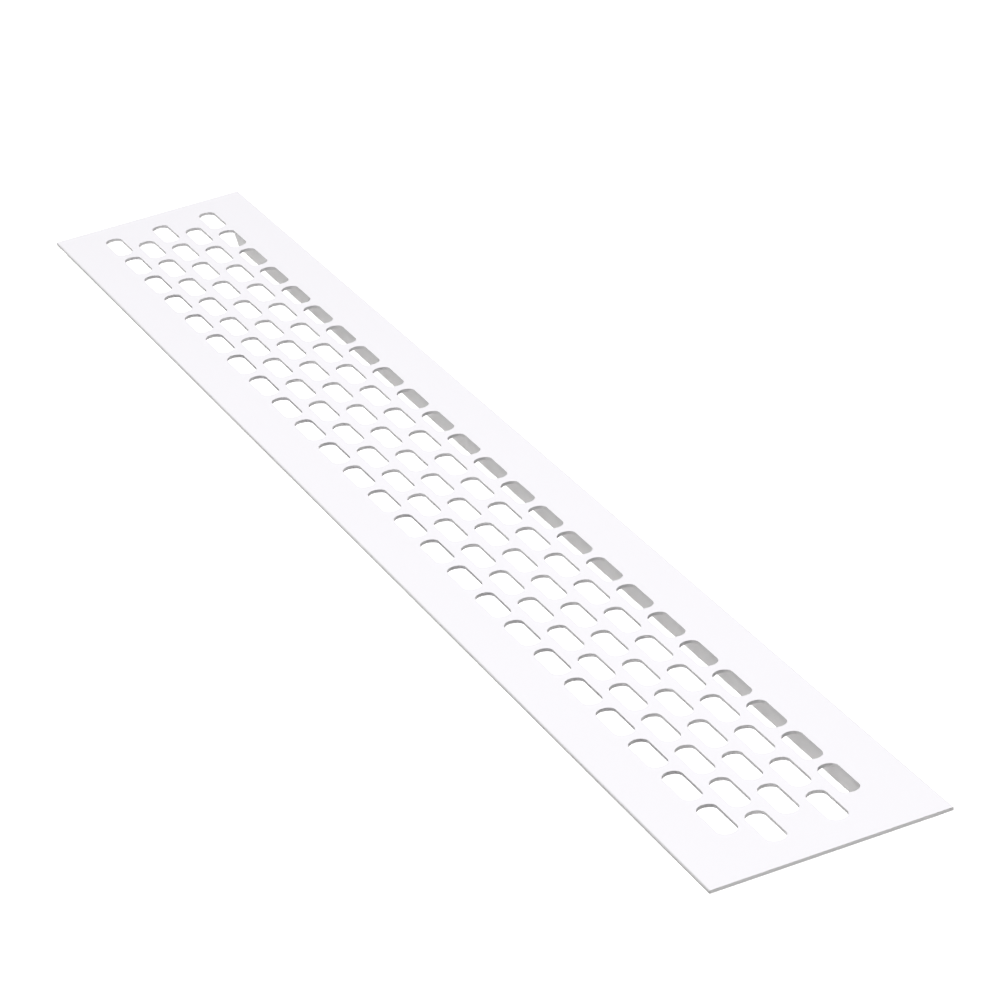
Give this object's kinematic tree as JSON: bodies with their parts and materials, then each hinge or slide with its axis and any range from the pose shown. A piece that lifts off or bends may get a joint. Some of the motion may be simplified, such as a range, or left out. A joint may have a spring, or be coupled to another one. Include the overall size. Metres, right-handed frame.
{
  "type": "furniture vent grille",
  "caption": "Long flat rectangular vent grille with staggered columns of obround slots and two low legs underneath that drop into a panel cut-out; lets air through furniture.",
  "frame": {"origin": "centre of the outline at the height of the legs' feet, where the grille rests when it lies face up", "axes": "+X along the grille, +Y across it, +Z out of the visible face"},
  "size_m": [0.48, 0.06, 0.0052],
  "materials": {
    "white_coat": "satin white powder coat on aluminium"
  },
  "bodies": {
    "root": {"vent_grille": "white_coat"}
  },
  "joints": []
}
